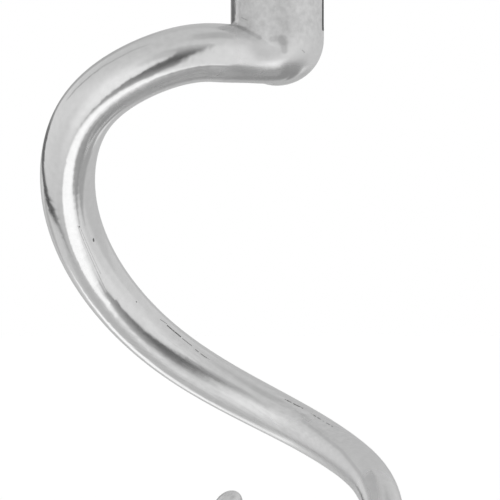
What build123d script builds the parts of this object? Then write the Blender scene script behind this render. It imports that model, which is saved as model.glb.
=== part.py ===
from build123d import *
import os

# Dough hook of a planetary mixer, in millimetres.
# A spiral arm is cast in one piece with the hub that carries it, and a steel bushing lines the hub's socket.
# +Z is up along the mixer's shaft, the front is -Y, and the origin is the middle of the hub's top face.

# Hub: a round boss whose closed lower end is a dome of the hub's own radius
HUB_DIAMETER = 44.5
HUB_STRAIGHT = 42.5
RIM_CHAMFER = 1.0

# Socket for the mixer's shaft, lined with the bushing
SHAFT_DIAMETER = 25.4
SHAFT_CLEARANCE = 0.1
BUSHING_WALL = 4.8
LEAD_IN = 1.0

# Bayonet slot: the shaft's drive pin slides down it, then turns in the bushing and rises into its seat.
# An unbroken band of the bushing is left below it
PIN_DIAMETER = 6.35
PIN_CLEARANCE = 0.4
SLOT_DEPTH = 38.5
SLOT_BEARING = -5.0
LOCK_TURN = 42.0
LOCK_RISE = 3.0
BAND_BELOW = 7.5

# Arm: a round bar that leaves the front of the hub, winds down to the left and behind, and curls up in front
ROOT_THICKNESS = 27.8
TIP_THICKNESS = 12.9
TIP_LENGTH = 9.0
TAPER_POWER = 1.8
ARM_SECTIONS = 64
# Root: the arm starts at a core inside the dome and swells at the dome's middle, both as shares of the hub's
# diameter. At the middle it stands just proud of the dome, on a line that leans down from the front
CORE_SHARE = 0.72
ROOT_SHARE = 0.8
SWELL_REACH = 20.0
ROOT_PROUD = 0.35
ROOT_LEAN = 45.0
ROOT_BLEND = 2.0
# Middle of the arm at each station: right of the shaft, behind the shaft, below the dome's centre
ARM_STATIONS = [
    (-16.0, -9.1, 7.5),
    (-32.5, -14.7, 7.5),
    (-60.0, -18.5, 14.0),
    (-90.5, -10.7, 35.5),
    (-100.2, 3.5, 63.5),
    (-85.0, 30.5, 116.0),
    (-59.0, 40.5, 145.2),
    (-26.3, 44.0, 167.5),
    (8.3, 38.0, 185.6),
    (33.0, 17.0, 199.7),
    (48.3, -10.5, 217.0),
    (46.5, -31.0, 242.0),
    (18.0, -43.0, 263.5),
    (-14.0, -41.0, 254.5),
    (-27.0, -34.5, 236.0),
    (-23.6, -30.0, 220.8),
]

# Sizes that follow
hub_radius = HUB_DIAMETER / 2
dome_level = -HUB_STRAIGHT
dome_centre = Vector(0, 0, dome_level)
bore_radius = (SHAFT_DIAMETER + SHAFT_CLEARANCE) / 2
bushing_radius = bore_radius + BUSHING_WALL
slot_width = PIN_DIAMETER + PIN_CLEARANCE
pin_level = slot_width / 2 - SLOT_DEPTH
socket_depth = SLOT_DEPTH + BAND_BELOW
entry_rise = slot_width - pin_level
core_width = CORE_SHARE * HUB_DIAMETER
root_width = ROOT_SHARE * HUB_DIAMETER
root_offset = hub_radius + ROOT_PROUD - root_width / 2

# The spine goes from the core out through the hub's front and left side
root = dome_centre + Vector(0, -root_offset, 0).rotate(Axis.X, ROOT_LEAN)
core = (dome_centre + root) / 2 + Vector(hub_radius / 3, 0, 0)
stations = [dome_centre + Vector(right, behind, -below) for right, behind, below in ARM_STATIONS]
spine = Spline([core, root] + stations)
swell_middle = (root - core).length


def arm_thickness(distance):
    """Thickness of the arm at a distance along its spine: from core to root, then down to the bar's own taper."""
    if distance < swell_middle:
        return root_width + (core_width - root_width) * (1 - distance / swell_middle) ** 2
    bar = ROOT_THICKNESS + (TIP_THICKNESS - ROOT_THICKNESS) * (distance / spine.length) ** TAPER_POWER
    swell = max(0, 1 - ((distance - swell_middle) / SWELL_REACH) ** 2) ** 2
    return bar + (root_width - bar) * swell


def outward(bearing):
    """Level direction on a bearing, counted from the hub's right side and towards its back."""
    return Axis.X.direction.rotate(Axis.Z, bearing)


def pin_path(bearing, rise):
    """Outline that the drive pin sweeps on a bearing as it rises from its lowest level."""
    facing = outward(bearing)
    with BuildSketch(Plane((0, 0, 0), x_dir=Axis.Z.direction.cross(facing), z_dir=facing)) as outline:
        with Locations((0, pin_level + rise / 2)):
            SlotCenterToCenter(rise, slot_width, rotation=90)
    return outline.sketch


os.makedirs("parts", exist_ok=True)

# Hook casting
with BuildPart() as hook_casting:
    with BuildSketch(Plane.XZ):
        with BuildLine():
            Polyline((0, dome_level - hub_radius), (0, 0), (hub_radius, 0), (hub_radius, dome_level))
            RadiusArc((hub_radius, dome_level), (0, dome_level - hub_radius), hub_radius)
        make_face()
    revolve(axis=Axis.Z)
    chamfer(hook_casting.edges().group_by(Axis.Z)[-1], RIM_CHAMFER)

    # Round sections square to the spine, each turned as little as it can be from the one before
    upper_side = Axis.Z.direction
    for step in range(ARM_SECTIONS):
        share = step / (ARM_SECTIONS - 1)
        along = spine.tangent_at(share)
        upper_side = upper_side - along * upper_side.dot(along)
        with BuildSketch(Plane(spine.position_at(share), x_dir=upper_side, z_dir=along)):
            Circle(arm_thickness(share * spine.length) / 2)
    loft()

    # Soft crease where the arm's side meets the hub, and a long round nose at the tip
    hub_side = hook_casting.faces().filter_by(GeomType.CYLINDER)
    hub_dome = hook_casting.faces().filter_by(GeomType.SPHERE)
    crease = (hub_side + hub_dome).edges().filter_by(GeomType.BSPLINE)
    fillet(crease, ROOT_BLEND)
    with BuildSketch(Plane(spine.position_at(1), x_dir=upper_side, z_dir=upper_side.cross(along))):
        with BuildLine():
            Polyline((TIP_THICKNESS / 2, 0), (0, 0), (0, TIP_LENGTH))
            EllipticalCenterArc((0, 0), TIP_THICKNESS / 2, TIP_LENGTH, arc_size=90)
        make_face()
    revolve(axis=Axis(spine.position_at(1), along))

    with BuildSketch():
        Circle(bushing_radius)
    extrude(amount=-socket_depth, mode=Mode.SUBTRACT)
    extrude(pin_path(SLOT_BEARING, entry_rise), amount=HUB_DIAMETER, mode=Mode.SUBTRACT)

hook_casting.part.label = "hook_casting"
export_step(hook_casting.part, "parts/hook_casting.step")

# Hub bushing
with BuildPart() as hub_bushing:
    with BuildSketch():
        Circle(bushing_radius)
        Circle(bore_radius, mode=Mode.SUBTRACT)
    extrude(amount=-socket_depth)
    chamfer(hub_bushing.edges().group_by(Axis.Z)[-1].sort_by(SortBy.RADIUS)[0], LEAD_IN)

    # Way in, turn and seat of the drive pin
    extrude(pin_path(SLOT_BEARING, entry_rise), amount=HUB_DIAMETER, mode=Mode.SUBTRACT)
    way_in = outward(SLOT_BEARING)
    with BuildSketch(Plane((0, 0, 0), x_dir=way_in, z_dir=way_in.cross(Axis.Z.direction))):
        with Locations((bushing_radius, pin_level)):
            Rectangle(bushing_radius, slot_width)
    revolve(axis=Axis.Z, revolution_arc=LOCK_TURN, mode=Mode.SUBTRACT)
    extrude(pin_path(SLOT_BEARING + LOCK_TURN, LOCK_RISE), amount=HUB_DIAMETER, mode=Mode.SUBTRACT)

hub_bushing.part.label = "hub_bushing"
export_step(hub_bushing.part, "parts/hub_bushing.step")
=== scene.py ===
import math

import bpy
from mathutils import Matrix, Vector


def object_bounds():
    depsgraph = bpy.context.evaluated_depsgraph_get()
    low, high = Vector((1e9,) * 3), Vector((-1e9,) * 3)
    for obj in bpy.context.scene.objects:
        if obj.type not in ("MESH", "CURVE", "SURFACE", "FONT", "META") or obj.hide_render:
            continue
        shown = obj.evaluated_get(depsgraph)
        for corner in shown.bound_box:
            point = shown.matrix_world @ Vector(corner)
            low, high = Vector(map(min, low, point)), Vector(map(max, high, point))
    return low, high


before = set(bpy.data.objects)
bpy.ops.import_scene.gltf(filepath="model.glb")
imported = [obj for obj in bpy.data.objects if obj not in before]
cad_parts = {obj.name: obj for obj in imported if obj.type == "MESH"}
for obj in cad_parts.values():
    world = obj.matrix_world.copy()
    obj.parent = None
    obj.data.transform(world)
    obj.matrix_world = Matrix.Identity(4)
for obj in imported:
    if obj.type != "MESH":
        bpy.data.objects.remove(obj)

cad_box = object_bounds()
scene = bpy.context.scene
scene.view_settings.view_transform = "Standard"

# Camera, straight from the front: its place, and the picture's width at the shaft's axis, in metres
CAMERA_PLACE = Vector((-0.013, -1.25, -0.1431))
VIEW_WIDTH = 0.2385
# Width of the camera's sensor in millimetres, and of the square picture in pixels
SENSOR = 36.0
PICTURE = 500
MILLIMETRE = 0.001

# Studio, as the hook sees it, by direction in degrees. A level of 1 is white
HALF_TURN = 180
WHITE = 1.0
# Light tent: its level at each elevation
TENT_LEVELS = [
    (-78, 0.36), (-60, 0.57), (-45, 0.67), (-20, 0.71), (5, 0.76), (18, 0.76), (35, 0.68), (55, 0.62),
]
# Cards in the tent: azimuth (0 is the camera's side, 90 the right), elevation, half width, half height,
# slant in degrees of azimuth per degree of elevation, softness of the edge, level
CARDS = {
    "front_left_glow": (-19, -14, 23, 26, 0.0, 34, 0.95),
    "stand_shade": (2, 20, 14, 13, 0.0, 16, 0.60),
    "front_right_glow": (38, -16, 18, 36, -0.1, 16, 0.82),
    "right_wall": (120, -6, 36, 28, 0.0, 16, 0.59),
    "right_wall_top": (118, 18, 36, 10, 0.0, 10, 0.67),
    "right_ceiling": (52, 64, 34, 12, 0.0, 10, 0.50),
    "back_wall": (180, 16, 38, 54, 0.0, 10, 0.57),
    "right_table": (122, -66, 66, 22, -0.5, 5, 0.345),
    "right_table_near": (50, -55, 14, 6, 0.0, 8, 0.39),
    "right_table_rise": (95, -40.5, 27, 8, 0.0, 6, 0.42),
    "right_table_edge": (134, -39.5, 12, 4, -1.5, 4, 0.82),
    "left_table": (-95, -63, 36, 14, 0.0, 8, 0.55),
    "left_sweep": (-138, -45, 18, 8, 0.0, 6, 1.22),
    "left_shade": (-130, -20, 9, 8, 0.0, 6, 0.50),
    "front_table_right": (14, -63, 22, 10, -0.6, 14, 0.97),
    "front_table_lip": (16, -46, 14, 3, 0.0, 5, 1.0),
    "front_table": (-8, -58, 32, 10, 2.4, 8, 1.18),
}
# Slanting strips in the tent. Each row has the elevation, the left and right edge's azimuth and the level
STRIPS = {
    "camera_stand": [
        (30, -4, 30, 0.54), (24, 2, 29, 0.50), (18, 8, 27, 0.41), (10, 9, 25, 0.24), (0, 7, 23, 0.14),
        (-8, 4, 21, 0.11), (-15, 1, 20, 0.13), (-22, -4, 21, 0.17), (-30, -8, 22, 0.28),
        (-42, -14, 18, 0.42), (-45, -16, 0, 0.50),
    ],
    "left_doorway": [
        (42, -168, -142, 0.48), (16, -166, -138, 0.42), (7, -165, -128, 0.17), (0, -143, -126, 0.15),
        (-7, -130, -120, 0.14), (-14, -124, -113, 0.12), (-26, -113, -102, 0.07), (-37, -97, -88, 0.06),
        (-43, -88, -80, 0.17), (-55, -70, -63, 0.42),
    ],
    "upper_seam": [
        (68, -75, -66, 0.42), (58, -90, -81, 0.42), (45, -99, -90, 0.46), (38, -101, -93, 0.38),
        (22, -110, -104, 0.42),
    ],
}
STRIP_SOFTNESS = 3.5
# White backdrop behind the hook, as far as its polish shows it: azimuth from straight behind, and elevation
BACKDROP_REACH = (10, 12)
# Floor: its paint, its glow for the camera, and half its size in metres
FLOOR_ALBEDO = 0.85
FLOOR_GLOW = 0.48
FLOOR_HALF = 4.0

# Regions of the casting. A pair says where a region is full and where it has ended, in metres.
# Hub with the arm's root: distance from the shaft's axis, and height. Its satin: height
ROOT_EDGE = (0.0235, 0.036)
ROOT_FOOT = (-0.07, -0.08)
SATIN_EDGE = (-0.038, -0.052)
# Front of the low bend: place behind the shaft, and height. Hub's left flank: place right of the shaft
BEND_FRONT = (-0.014, -0.003)
BEND_TOP = (-0.24, -0.22)
FLANK_EDGE = (-0.0196, -0.0178)
# Upper arm's underside: the normal's upward share, height, and place right of the shaft
UNDERSIDE_NORMAL = (-0.64, -0.50)
UNDERSIDE_FOOT = (-0.072, -0.085)
UNDERSIDE_END = (-0.004, 0.006)
# Slot on the hub's right, painted with shade: the direction across it, its half width with its rims, and its
# foot
SLOT_ACROSS = (0.0872, 0.9962, 0)
SLOT_HALF = (0.0043, 0.0050)
SLOT_FOOT = (-0.0385, -0.0392)
# Polishing streaks on the arm's long diagonal: direction, share of the change along it that is evened out,
# and heights
STREAK_LINE = (0.857, -0.03, -0.514)
STREAK_STRETCH = 0.95
STREAK_TOP = (-0.192, -0.172)
STREAK_FOOT = (-0.232, -0.245)

# Casting's grey: the arm's, the root's by height and the satin's from left to right (painted shade), the
# slot's painted shade and the marks'
ALUMINIUM = 0.82
# Painted shade: the root is darker on its underside and lighter upwards
ROOT_ALUMINIUM_PAINTED_SHADE = [(-0.0595, 0.74), (-0.0545, 0.94)]
# Painted shade: the hub's satin is darker on its left and lighter on its right
SATIN_ALUMINIUM_PAINTED_SHADE = [(-0.019, 0.70), (-0.006, 0.72), (0.001, 0.79), (0.011, 0.84), (0.019, 0.88)]
# Painted shade: the slot's walls and rims are nearly black
SLOT_PAINTED_SHADE_GREY = 0.05
# Grey of the mould marks, and of the painted shade and dark reflection line among them
MARK_AND_SHADE_GREY = 0.2
# Casting's roughness: the arm's by height, the low bend's, the hub's by height, its flank's, the underside's
# and the marks'
ARM_POLISH = [(-0.25, 0.40), (-0.225, 0.26), (-0.19, 0.18), (-0.15, 0.12), (-0.08, 0.12), (-0.058, 0.15)]
BEND_POLISH = 0.24
HUB_POLISH = [(-0.063, 0.18), (-0.0575, 0.20), (-0.053, 0.42), (-0.046, 0.50), (-0.038, 0.54)]
FLANK_POLISH = 0.22
UNDERSIDE_POLISH = 0.28
MARK_ROUGHNESS = 0.6

# Noise in the casting's finish: features per metre and detail
WAVES = (75, 1.0)
POLISH = (60, 2.0)
MOTTLE = (330, 3.0)
STREAKS = (800, 3.0)
GRAIN = (1500, 2.0)
BREAKS = (700, 1.0)
NOISE_MIDDLE = 0.5
# How far the noise changes the grey, and the roughness by a share. The mottle's pairs are polished and satin
MOTTLE_GREY = (0.11, 0.36)
STREAK_GREY = 0.2
POLISH_SPREAD = 0.5
# Depths of the relief, in millimetres
WAVE_DEPTH = 0.05
MOTTLE_DEPTH = (0.007, 0.16)
GRAIN_DEPTH = 0.004
STREAK_DEPTH = 0.04
MARK_DEPTH = 0.15
# Sparse pits: cells per metre, a pit's size in its cell, share of the cells that have none, strength
PIT_SCALE = 110
PIT_SIZE = (0.015, 0.04)
PIT_FREE = (0.93, 0.92)
PIT_STRENGTH = 0.5
# Marks: share of the half width that is full, the noise at which a mark shows and at which it hides,
# and how far both rise on a mark that is all broken up
MARK_CORE = 0.3
BREAK_LEVELS = (0.32, 0.18)
BREAK_RISE = 0.3
# Marks left by the mould and by use, and painted shade and a dark reflection line at the crease and the low
# bend:
# places in the picture in pixels, half width in millimetres, share that is broken up, strength
MARKS_AND_PAINTED_SHADE = {
    "parting_start": ([(160.5, 319.5), (166.5, 323.5)], 0.26, 0.3, 0.7),
    "parting_upper": ([(167.5, 325.5), (174.5, 331.5), (180.5, 336.5)], 0.55, 0.25, 1.0),
    "parting_fading": ([(182.5, 338.5), (191.5, 345.5)], 0.32, 0.5, 0.8),
    "parting_dashes": ([(195.5, 349.5), (204.5, 356.5), (212.5, 360.5)], 0.32, 0.7, 0.8),
    "parting_lower": ([(285.5, 399.5), (291.5, 402.5), (305.5, 409.5)], 0.50, 0.65, 0.9),
    "parting_dots": ([(311.5, 413.5), (322.5, 420.5), (332.5, 426.5)], 0.42, 0.85, 0.8),
    "polish_line_left": (
        [(78.5, 226.5), (84.5, 242.5), (90.5, 256.5), (97.5, 272.5), (106.5, 292.5)], 0.36, 0.3, 0.25),
    "polish_line_right": ([(81.5, 230.5), (87.5, 244.5), (93.5, 258.5), (100.5, 273.5)], 0.34, 0.4, 0.2),
    # Painted reflection: a dark line and a shade along the low bend
    "bend_painted_reflection_line": (
        [(302.5, 420.5), (321.5, 434.5), (341.5, 450.5), (350.5, 461.5), (358.5, 471.5), (364.5, 480.5),
         (367.5, 490.5)], 1.2, 0.0, 0.17),
    "bend_shade": ([(369.5, 479), (373.5, 490.5), (374.5, 498.5)], 5.0, 0.0, 0.16),
    "pit_bend": ([(93.5, 239.2), (93.8, 241)], 0.62, 0.0, 1.0),
    "pit_upper": ([(79.4, 226.6), (79.6, 227.2)], 0.35, 0.0, 0.8),
    "pit_lower": ([(136.4, 301.6), (136.6, 302)], 0.35, 0.0, 0.8),
    # Painted shade in the crease where the arm's root meets the hub, and in the notch at its end
    "root_crease_painted_shade": ([(232, 25), (238.5, 26.5), (244, 29)], 2.4, 0.0, 0.33),
    "crease_tail_painted_shade": ([(242.5, 28.5), (251, 33), (259.5, 37.5)], 1.7, 0.0, 0.2),
    "crease_end_painted_shade": ([(272, 39), (284, 38)], 2.1, 0.0, 0.20),
    "crease_drop_painted_shade": ([(283, 39), (284.5, 50.5)], 2.2, 0.0, 0.24),
    "crease_deep_painted_shade": ([(281, 39), (283.5, 42.5)], 2.8, 0.0, 0.34),
    "hub_nick": ([(241.5, 17.5), (247.5, 20.5)], 0.40, 0.4, 0.35),
    "dome_nick": ([(300.5, 48.5), (304.5, 52.5)], 0.40, 0.5, 0.3),
}

# Bushing: bored steel with patches of wear, and turned rings from noise drawn out across the shaft
STEEL = 0.56
STEEL_WEAR = 0.12
STEEL_BLUE = 0.01
STEEL_ROUGHNESS = 0.28
WEAR = (240, 3.0)
RINGS = (2600, 2.0)
RING_DRAW = (0.02, 0.02, 1)
RING_ROUGHNESS = 0.16
RING_DEPTH = 0.01


def add(tree, kind, inputs=None, **settings):
    """A new shader node with its settings, and with its inputs set to values or linked to sockets."""
    made = tree.nodes.new("ShaderNode" + kind)
    for name, value in settings.items():
        setattr(made, name, value)
    for key, value in (inputs or {}).items():
        if isinstance(value, bpy.types.NodeSocket):
            tree.links.new(value, made.inputs[key])
        else:
            made.inputs[key].default_value = value
    return made


def math_node(tree, operation, *values):
    """Result of a Math node on values or sockets."""
    return add(tree, "Math", dict(enumerate(values)), operation=operation).outputs[0]


def vector_node(tree, operation, *values):
    """Vector result of a Vector Math node on vectors or sockets."""
    return add(tree, "VectorMath", dict(enumerate(values)), operation=operation).outputs["Vector"]


def measure_node(tree, operation, *values):
    """Number that a Vector Math node gives for vectors or sockets."""
    return add(tree, "VectorMath", dict(enumerate(values)), operation=operation).outputs["Value"]


def scaled(tree, vector, size):
    """A fixed vector times a socket's number."""
    return add(tree, "VectorMath", {0: vector, "Scale": size}, operation="SCALE").outputs[0]


def product(tree, first, *others):
    """Product of several numbers or sockets."""
    for other in others:
        first = math_node(tree, "MULTIPLY", first, other)
    return first


def fade(tree, value, full, none):
    """1 where value is at full, 0 at none, smooth between."""
    limits = {"Value": value, "From Min": none, "From Max": full}
    return add(tree, "MapRange", limits, interpolation_type="SMOOTHSTEP").outputs[0]


def blend(tree, share, first, second):
    """Number that goes from first to second as share goes from 0 to 1."""
    return add(tree, "Mix", {0: share, 2: first, 3: second}, data_type="FLOAT").outputs[0]


def profile(tree, place, points):
    """Number that follows (place, value) points in straight lines, and keeps the end values beyond them."""
    result = points[0][1]
    for (start, low), (stop, high) in zip(points, points[1:]):
        limits = {"Value": place, "From Min": start, "From Max": stop, "To Min": 0, "To Max": high - low}
        result = math_node(tree, "ADD", add(tree, "MapRange", limits).outputs[0], result)
    return result


def noise(tree, coords, scale, detail):
    """Noise between 0 and 1, with scale in features per metre."""
    return add(tree, "TexNoise", {"Vector": coords, "Scale": scale, "Detail": detail}).outputs[0]


def varied(tree, middle, source, spread):
    """Number about a middle, which noise changes over a spread."""
    change = math_node(tree, "SUBTRACT", source, NOISE_MIDDLE)
    return math_node(tree, "MULTIPLY_ADD", change, spread, middle)


def make_camera():
    """Level camera in front of the hook."""
    data = bpy.data.cameras.new("camera")
    data.sensor_width = SENSOR
    data.lens = SENSOR * -CAMERA_PLACE.y / VIEW_WIDTH
    camera = bpy.data.objects.new("camera", data)
    camera.location = CAMERA_PLACE
    camera.rotation_euler = (math.pi / 2, 0, 0)
    scene.collection.objects.link(camera)
    scene.camera = camera


def add_card(tree, level, azimuth, elevation, card):
    """The tent's level with one card in front of it."""
    across, up, half_width, half_height, slant, soft, grey = card
    rise = math_node(tree, "SUBTRACT", elevation, up)
    middle = math_node(tree, "MULTIPLY_ADD", rise, slant, across)
    aside = math_node(tree, "WRAP", math_node(tree, "SUBTRACT", azimuth, middle), HALF_TURN, -HALF_TURN)
    inside = []
    for away, half in ((aside, half_width), (rise, half_height)):
        inside.append(fade(tree, math_node(tree, "ABSOLUTE", away), half - soft / 2, half + soft / 2))
    return blend(tree, product(tree, *inside), level, grey)


def add_strip(tree, level, azimuth, elevation, rows):
    """The tent's level with one strip in front of it."""
    rises, *columns = zip(*sorted(rows))
    left, right, grey = (profile(tree, elevation, list(zip(rises, column))) for column in columns)
    soft = STRIP_SOFTNESS / 2
    inside = []
    for more, less in ((azimuth, left), (right, azimuth), (elevation, rises[0]), (rises[-1], elevation)):
        inside.append(fade(tree, math_node(tree, "SUBTRACT", more, less), soft, -soft))
    return blend(tree, product(tree, *inside), level, grey)


def make_studio():
    """Grey light tent with cards and strips. The camera sees white, and the polish does straight behind."""
    world = bpy.data.worlds.new("studio")
    scene.world = world
    world.use_nodes = True
    tree = world.node_tree
    direction = add(tree, "TexCoord").outputs["Generated"]
    right, behind, up = add(tree, "SeparateXYZ", {0: direction}).outputs
    front = math_node(tree, "MULTIPLY", behind, -1)
    azimuth = math_node(tree, "DEGREES", math_node(tree, "ARCTAN2", right, front))
    elevation = math_node(tree, "DEGREES", math_node(tree, "ARCSINE", up))
    level = profile(tree, elevation, TENT_LEVELS)
    for card in CARDS.values():
        level = add_card(tree, level, azimuth, elevation, card)
    for rows in STRIPS.values():
        level = add_strip(tree, level, azimuth, elevation, rows)

    reach, height = BACKDROP_REACH
    aside = math_node(tree, "ABSOLUTE", azimuth)
    rise = math_node(tree, "ABSOLUTE", elevation)
    ray = add(tree, "LightPath").outputs
    mirrored = math_node(tree, "MAXIMUM", ray["Is Glossy Ray"], ray["Is Transmission Ray"])
    backdrop = product(
        tree, mirrored, fade(tree, aside, HALF_TURN - reach / 2, HALF_TURN - reach),
        fade(tree, rise, height / 2, height))
    white = math_node(tree, "MAXIMUM", ray["Is Camera Ray"], backdrop)
    tree.links.new(blend(tree, white, level, WHITE), tree.nodes["Background"].inputs["Color"])


def make_floor():
    """Pale floor under the hook's lowest point, which keeps the hook's shadow."""
    bpy.ops.mesh.primitive_plane_add(size=2 * FLOOR_HALF, location=(0, 0, cad_box[0].z))
    floor = bpy.context.object
    floor.name = "floor"
    # The polish mirrors the tent's table in place of the floor
    floor.visible_glossy = False
    material = bpy.data.materials.new("pale_floor")
    material.use_nodes = True
    tree = material.node_tree
    tree.nodes.clear()
    paint = add(tree, "BsdfDiffuse", {"Color": (FLOOR_ALBEDO, FLOOR_ALBEDO, FLOOR_ALBEDO, 1)})
    camera_ray = add(tree, "LightPath").outputs["Is Camera Ray"]
    glow = add(tree, "Emission", {"Strength": math_node(tree, "MULTIPLY", camera_ray, FLOOR_GLOW)})
    both = add(tree, "AddShader", {0: paint.outputs[0], 1: glow.outputs[0]})
    add(tree, "OutputMaterial", {"Surface": both.outputs[0]})
    floor.data.materials.append(material)


def new_metal(name):
    """A metal's material, its node tree and its shader."""
    material = bpy.data.materials.new(name)
    material.use_nodes = True
    shader = material.node_tree.nodes["Principled BSDF"]
    shader.inputs["Metallic"].default_value = 1
    return material, material.node_tree, shader


def dress(tree, shader, channels, roughness, relief, depth):
    """Gives a metal's shader its colour, its roughness and its relief, whose unit is a depth in metres."""
    colour = add(tree, "CombineColor", dict(enumerate(channels))).outputs[0]
    bump = add(tree, "Bump", {"Height": relief, "Distance": depth}).outputs[0]
    for name, socket in {"Base Color": colour, "Roughness": roughness, "Normal": bump}.items():
        tree.links.new(socket, shader.inputs[name])


def surface_point(across, down):
    """Point of the casting that shows at a place in the picture, in pixels from its upper left corner."""
    middle = PICTURE / 2
    pixel = VIEW_WIDTH / PICTURE
    way = Vector(((across - middle) * pixel, -CAMERA_PLACE.y, (middle - down) * pixel))
    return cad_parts["hook_casting"].ray_cast(CAMERA_PLACE, way.normalized())[1]


def mark_mask(tree, coords, chain, half_width, broken, strength):
    """A chain of straight marks at its strength, with breaks where the noise along it is low."""
    points = [surface_point(*place) for place in chain]
    none = half_width * MILLIMETRE
    mask = 0.0
    for start, stop in zip(points, points[1:]):
        run = stop - start
        offset = vector_node(tree, "SUBTRACT", coords, start)
        share = math_node(tree, "DIVIDE", measure_node(tree, "DOT_PRODUCT", offset, run), run.length_squared)
        on_line = scaled(tree, run, add(tree, "Clamp", {0: share}).outputs[0])
        away = measure_node(tree, "DISTANCE", offset, on_line)
        mask = math_node(tree, "MAXIMUM", fade(tree, away, MARK_CORE * none, none), mask)
    if broken:
        shows, hides = (level + BREAK_RISE * broken for level in BREAK_LEVELS)
        mask = product(tree, mask, fade(tree, noise(tree, coords, *BREAKS), shows, hides))
    return product(tree, mask, strength)


def all_marks_and_shade(tree, coords):
    """All marks of the mould and of use, the painted shade at the crease and the low bend, and the sparse
    pits, from 0 to 1.
    """
    marks_and_shade = 0.0
    for mark in MARKS_AND_PAINTED_SHADE.values():
        marks_and_shade = math_node(tree, "MAXIMUM", mark_mask(tree, coords, *mark), marks_and_shade)
    cells = add(tree, "TexVoronoi", {"Vector": coords, "Scale": PIT_SCALE}).outputs
    chance = add(tree, "SeparateColor", {0: cells["Color"]}).outputs[0]
    pits = product(
        tree, fade(tree, cells["Distance"], *PIT_SIZE), fade(tree, chance, *PIT_FREE), PIT_STRENGTH)
    return math_node(tree, "MAXIMUM", marks_and_shade, pits)


def diagonal_streaks(tree, coords, height):
    """Streaks along the arm's long diagonal, both sides of 0."""
    along = measure_node(tree, "DOT_PRODUCT", coords, STREAK_LINE)
    drawn = scaled(tree, STREAK_LINE, math_node(tree, "MULTIPLY", along, STREAK_STRETCH))
    streaks = noise(tree, vector_node(tree, "SUBTRACT", coords, drawn), *STREAKS)
    on_diagonal = product(tree, fade(tree, height, *STREAK_TOP), fade(tree, height, *STREAK_FOOT))
    return varied(tree, 0.0, streaks, on_diagonal)


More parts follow.
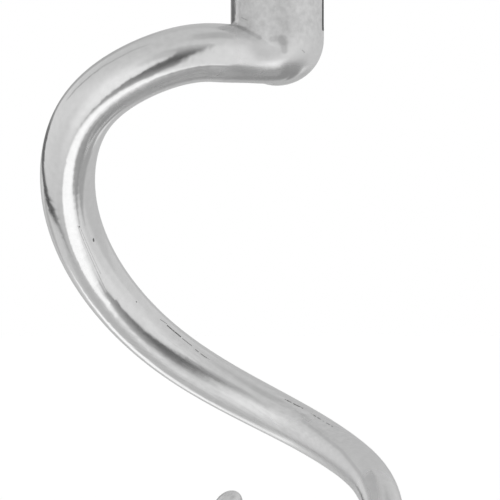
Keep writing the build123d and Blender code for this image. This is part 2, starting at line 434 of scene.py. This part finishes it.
def casting():
    """Cast aluminium: a slightly wavy polish on the arm, a mottled satin on the hub, and mould marks, with
    painted shade on the root, the hub's left, in the slot, at the crease and at the low bend.
    """
    material, tree, shader = new_metal("polished_casting")
    coordinates = add(tree, "TexCoord").outputs
    coords = coordinates["Object"]
    right, behind, height = add(tree, "SeparateXYZ", {0: coords}).outputs
    facing_up = add(tree, "SeparateXYZ", {0: coordinates["Normal"]}).outputs["Z"]
    radius = measure_node(tree, "LENGTH", add(tree, "CombineXYZ", {0: right, 1: behind}).outputs[0])
    near_hub = product(tree, fade(tree, radius, *ROOT_EDGE), fade(tree, height, *ROOT_FOOT))
    satin = product(tree, near_hub, fade(tree, height, *SATIN_EDGE))
    # Mould marks and pits, with painted shade at the crease and the low bend
    marks_and_shade = all_marks_and_shade(tree, coords)
    mottle = noise(tree, coords, *MOTTLE)
    streaks = diagonal_streaks(tree, coords, height)

    # Roughness of the arm with its low bend, of the hub with its flank, of the underside and of the marks
    bend = product(tree, fade(tree, behind, *BEND_FRONT), fade(tree, height, *BEND_TOP))
    arm_polish = blend(tree, bend, profile(tree, height, ARM_POLISH), BEND_POLISH)
    flank = product(tree, fade(tree, right, *FLANK_EDGE), satin)
    hub_polish = blend(tree, flank, profile(tree, height, HUB_POLISH), FLANK_POLISH)
    under = product(
        tree, fade(tree, facing_up, *UNDERSIDE_NORMAL), fade(tree, height, *UNDERSIDE_FOOT),
        fade(tree, right, *UNDERSIDE_END))
    roughness = blend(tree, near_hub, arm_polish, hub_polish)
    roughness = blend(tree, under, roughness, UNDERSIDE_POLISH)
    uneven = varied(tree, 1.0, noise(tree, coords, *POLISH), POLISH_SPREAD)
    roughness = blend(tree, marks_and_shade, product(tree, roughness, uneven), MARK_ROUGHNESS)

    # Grey of the metal with its mottle and streaks and painted shade on the root and the hub's left, the
    # slot's painted shade, and the marks with painted shade at the crease and the bend
    grey = blend(tree, near_hub, ALUMINIUM, profile(tree, height, ROOT_ALUMINIUM_PAINTED_SHADE))
    grey = blend(tree, satin, grey, profile(tree, right, SATIN_ALUMINIUM_PAINTED_SHADE))
    grey = varied(tree, grey, mottle, blend(tree, satin, *MOTTLE_GREY))
    grey = math_node(tree, "MULTIPLY_ADD", streaks, STREAK_GREY, grey)
    # Painted shade: the slot's walls and rims are made nearly black
    from_slot = math_node(tree, "ABSOLUTE", measure_node(tree, "DOT_PRODUCT", coords, SLOT_ACROSS))
    slot_painted_shade = product(
        tree, fade(tree, from_slot, *SLOT_HALF), fade(tree, height, *SLOT_FOOT),
        math_node(tree, "GREATER_THAN", right, 0))
    grey = blend(tree, slot_painted_shade, grey, SLOT_PAINTED_SHADE_GREY)
    grey = blend(tree, marks_and_shade, grey, MARK_AND_SHADE_GREY)

    # Relief: waves of the hand polish, the mottle, fine grain, the streaks and the sunk marks
    relief = math_node(tree, "MULTIPLY", noise(tree, coords, *WAVES), WAVE_DEPTH)
    relief = math_node(tree, "MULTIPLY_ADD", mottle, blend(tree, satin, *MOTTLE_DEPTH), relief)
    relief = math_node(tree, "MULTIPLY_ADD", noise(tree, coords, *GRAIN), GRAIN_DEPTH, relief)
    relief = math_node(tree, "MULTIPLY_ADD", streaks, STREAK_DEPTH, relief)
    relief = math_node(tree, "MULTIPLY_ADD", marks_and_shade, -MARK_DEPTH, relief)
    dress(tree, shader, (grey, grey, grey), roughness, relief, MILLIMETRE)
    return material


def bushing():
    """Bored steel: fine turned rings along the shaft's line and small patches of wear."""
    material, tree, shader = new_metal("bored_steel")
    coords = add(tree, "TexCoord").outputs["Object"]
    rings = noise(tree, vector_node(tree, "MULTIPLY", coords, RING_DRAW), *RINGS)
    grey = varied(tree, STEEL, noise(tree, coords, *WEAR), STEEL_WEAR)
    blue = math_node(tree, "ADD", grey, STEEL_BLUE)
    roughness = varied(tree, STEEL_ROUGHNESS, rings, RING_ROUGHNESS)
    dress(tree, shader, (grey, grey, blue), roughness, rings, RING_DEPTH * MILLIMETRE)
    return material


def finish_nodes():
    """Gives each piece its metal."""
    for name, material in {"hook_casting": casting(), "hub_bushing": bushing()}.items():
        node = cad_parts[name]
        node.data.materials.clear()
        node.data.materials.append(material)


make_camera()
make_studio()
make_floor()
finish_nodes()
